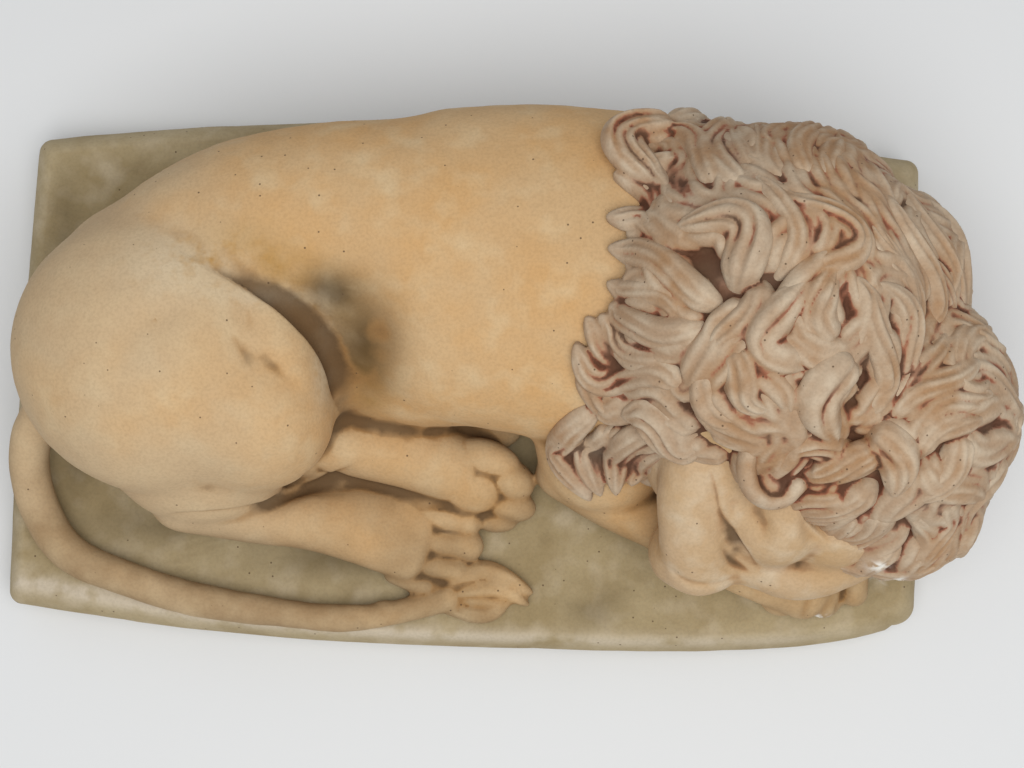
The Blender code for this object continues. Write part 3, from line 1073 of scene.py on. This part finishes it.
def pinholes(tree, spacing, radius, kept):
    # burst air bubbles: round spots of a radius in mm, in a share of the cells
    place = addNode(tree, "ShaderNodeTexCoord").outputs["Object"]
    cells = addNode(tree, "ShaderNodeTexVoronoi", {"Vector": place, "Scale": 1000 / spacing})
    spots = span(tree, cells.outputs["Distance"], 0.7 * radius / spacing, radius / spacing, 1, 0)
    chosen = addNode(tree, "ShaderNodeSeparateColor", {"Color": cells.outputs["Color"]}).outputs["Red"]
    return times(tree, spots, span(tree, chosen, kept + 0.01, kept, 0, 1))


gypsum = "#e8e2d6"
bubble = "#54402c"


def plaster(name, base, warm, pale, wash, shadeAndSpeck, extras=(), holeShare=0.3, rub=0.3):
    # matt limewash colour over gypsum: dry, chalky, with a wash in the carving and painted shade
    # darkening its innermost hollows
    material = bpy.data.materials.new(name)
    material.use_nodes = True
    tree = material.node_tree
    shader = tree.nodes["Principled BSDF"]
    colour = tint(tree, hexColour(base), hexColour(warm), grain(tree, 46, 0.42, 0.62, detail=4))
    colour = tint(tree, colour, hexColour(pale), times(tree, grain(tree, 17, 0.5, 0.75, offset=3), 0.5))
    for kind, over, share, size in extras:
        patchShare = times(tree, maskOf(tree, kind), share)
        broken = grain(tree, size, 0.22, 0.5, offset=len(kind))
        colour = tint(tree, colour, hexColour(over), times(tree, patchShare, broken))
    hollow = maskOf(tree, "hollow")
    washed = times(tree, span(tree, hollow, 0.05, 0.45), grain(tree, 24, 0.3, 0.6, offset=5))
    colour = tint(tree, colour, hexColour(wash), times(tree, washed, 0.85))
    # painted shade: the innermost hollows darkened where little light reaches
    colour = tint(tree, colour, hexColour(shadeAndSpeck), times(tree, span(tree, hollow, 0.3, 1.0), 0.8))
    rubbed = times(tree, times(tree, maskOf(tree, "proud"), rub), grain(tree, 11, 0.25, 0.7, offset=7))
    colour = tint(tree, colour, hexColour(pale), rubbed)
    speck = times(tree, grain(tree, 1.4, 0.4, 0.75), 0.14)
    colour = tint(tree, colour, hexColour(shadeAndSpeck), speck)
    chipped = times(tree, maskOf(tree, "chip"), grain(tree, 4, 0.35, 0.55, offset=9))
    colour = tint(tree, colour, hexColour(gypsum), chipped)
    holes = pinholes(tree, 5.6, 0.55, holeShare)
    colour = tint(tree, colour, hexColour(bubble), times(tree, holes, 0.8))
    tree.links.new(colour, shader.inputs["Base Color"])
    shader.inputs["Roughness"].default_value = 0.86  # dry paint scatters light, no gloss
    shader.inputs["Specular IOR Level"].default_value = 0.25
    height = times(tree, grain(tree, 1.6, 0.2, 0.8, detail=3), 0.5)
    height = times(tree, height, times(tree, holes, 0.9), "SUBTRACT")
    bump = addNode(tree, "ShaderNodeBump", {"Height": height, "Distance": 0.0003, "Strength": 0.6})
    tree.links.new(bump.outputs["Normal"], shader.inputs["Normal"])
    return material


def plain(name, colour, roughness):
    material = bpy.data.materials.new(name)
    material.use_nodes = True
    shader = material.node_tree.nodes["Principled BSDF"]
    shader.inputs["Base Color"].default_value = hexColour(colour)
    shader.inputs["Roughness"].default_value = roughness
    return material


print("materials")
# Each finish: colours; marks as mask, colour, share and grain in mm (staining, painted shade, painted
# highlight, a darkening near the plinth); and how holed and rubbed it is
bodyFinish = {
    "name": "ochre plaster",
    "base": "#c6a376",
    "warm": "#c89e6a",
    "pale": "#d2bb94",
    "wash": "#9d7444",
    "shadeAndSpeck": "#4f3a24",
    "extras": (
        ("rear", "#bea684", 0.75, 60),
        ("low", "#8d714e", 0.85, 40),
        ("ochre", "#ad8243", 0.9, 26),
        # painted shade in the hollow before the knee
        ("flank", "#423119", 0.92, 160),
        ("worn", "#d3c2a4", 0.7, 7),
    ),
}
headFinish = {
    "name": "ochre plaster, face",
    "base": "#c1a37e",
    "warm": "#bb996e",
    "pale": "#d9ccb3",
    "wash": "#9e7249",
    "shadeAndSpeck": "#4f3a24",
    "extras": (("low", "#b89468", 0.6, 30),),
}
maneFinish = {
    "base": "#ab9074",
    "warm": "#a6815d",
    "pale": "#cdbda4",
    "wash": "#9c5a40",
    "shadeAndSpeck": "#402819",
    "holeShare": 0.6,
    "rub": 0.6,
}
blockFinish = {
    "name": "weathered plaster",
    "base": "#a89672",
    "warm": "#998661",
    "pale": "#c3b397",
    "wash": "#7d6a48",
    "shadeAndSpeck": "#54462f",
    # painted shade on the plinth beside the figure, and a painted highlight along the near rim
    "extras": (("dirt", "#5d4f35", 0.6, 30), ("rim", "#cfc2ae", 0.75, 12)),
}
body.data.materials.append(plaster(**bodyFinish))
head.data.materials.append(plaster(**headFinish))
for piece in (crown, under):
    piece.data.materials.append(plaster("pinkish plaster, " + piece.name, **maneFinish))
block.data.materials.append(plaster(**blockFinish))


# Floor, light and camera

studio = {
    "floorHalf": 2.5,  # m
    "floorColour": "#dededc",
    "roomColour": "#dfe3ea",
    "roomLight": 0.58,
    "boxAt": (0.15, -0.42, 1.7),
    "boxSize": 1.4,
    "boxWatts": 23,
}
bm = bmesh.new()
bmesh.ops.create_grid(bm, x_segments=1, y_segments=1, size=studio["floorHalf"])
floor = meshObject("floor", bm)
floor.data.materials.append(plain("pale backdrop", studio["floorColour"], 0.9))

world = bpy.data.worlds.new("room")
world.use_nodes = True
background = world.node_tree.nodes["Background"]
background.inputs["Color"].default_value = hexColour(studio["roomColour"])
background.inputs["Strength"].default_value = studio["roomLight"]
bpy.context.scene.world = world


def softLight(name, at, size, watts):
    light = bpy.data.lights.new(name, "AREA")
    light.size = size
    light.energy = watts
    lamp = bpy.data.objects.new(name, light)
    lamp.location = at
    lamp.rotation_euler = (Vector((0, 0, 0.05)) - lamp.location).to_track_quat("-Z", "Y").to_euler()
    bpy.context.scene.collection.objects.link(lamp)


softLight("overhead softbox", studio["boxAt"], studio["boxSize"], studio["boxWatts"])

photoView = {
    "height": 1.0,  # m above the plinth's top
    "tilt": 4,  # degrees toward the viewer's side
    "roll": 1.4,  # degrees
    "across": 0.0225,  # m
    "lens": 70.3,  # mm
}
tilt, roll = math.radians(photoView["tilt"]), math.radians(photoView["roll"])
back = Vector((0, -math.sin(tilt), math.cos(tilt)))
right = Vector((1, 0, 0))
up = back.cross(right)
turned = Matrix(
    (
        math.cos(roll) * right + math.sin(roll) * up,
        math.cos(roll) * up - math.sin(roll) * right,
        back,
    )
)
camera = bpy.data.objects.new("camera", bpy.data.cameras.new("camera"))
bpy.context.scene.collection.objects.link(camera)
camera.data.sensor_width = 36
camera.data.lens = photoView["lens"]
camera.matrix_world = turned.transposed().to_4x4()
camera.location = Vector((photoView["across"], 0, cast["plinthHeight"])) + back * photoView["height"]
bpy.context.scene.camera = camera
bpy.context.scene.view_settings.view_transform = "Standard"
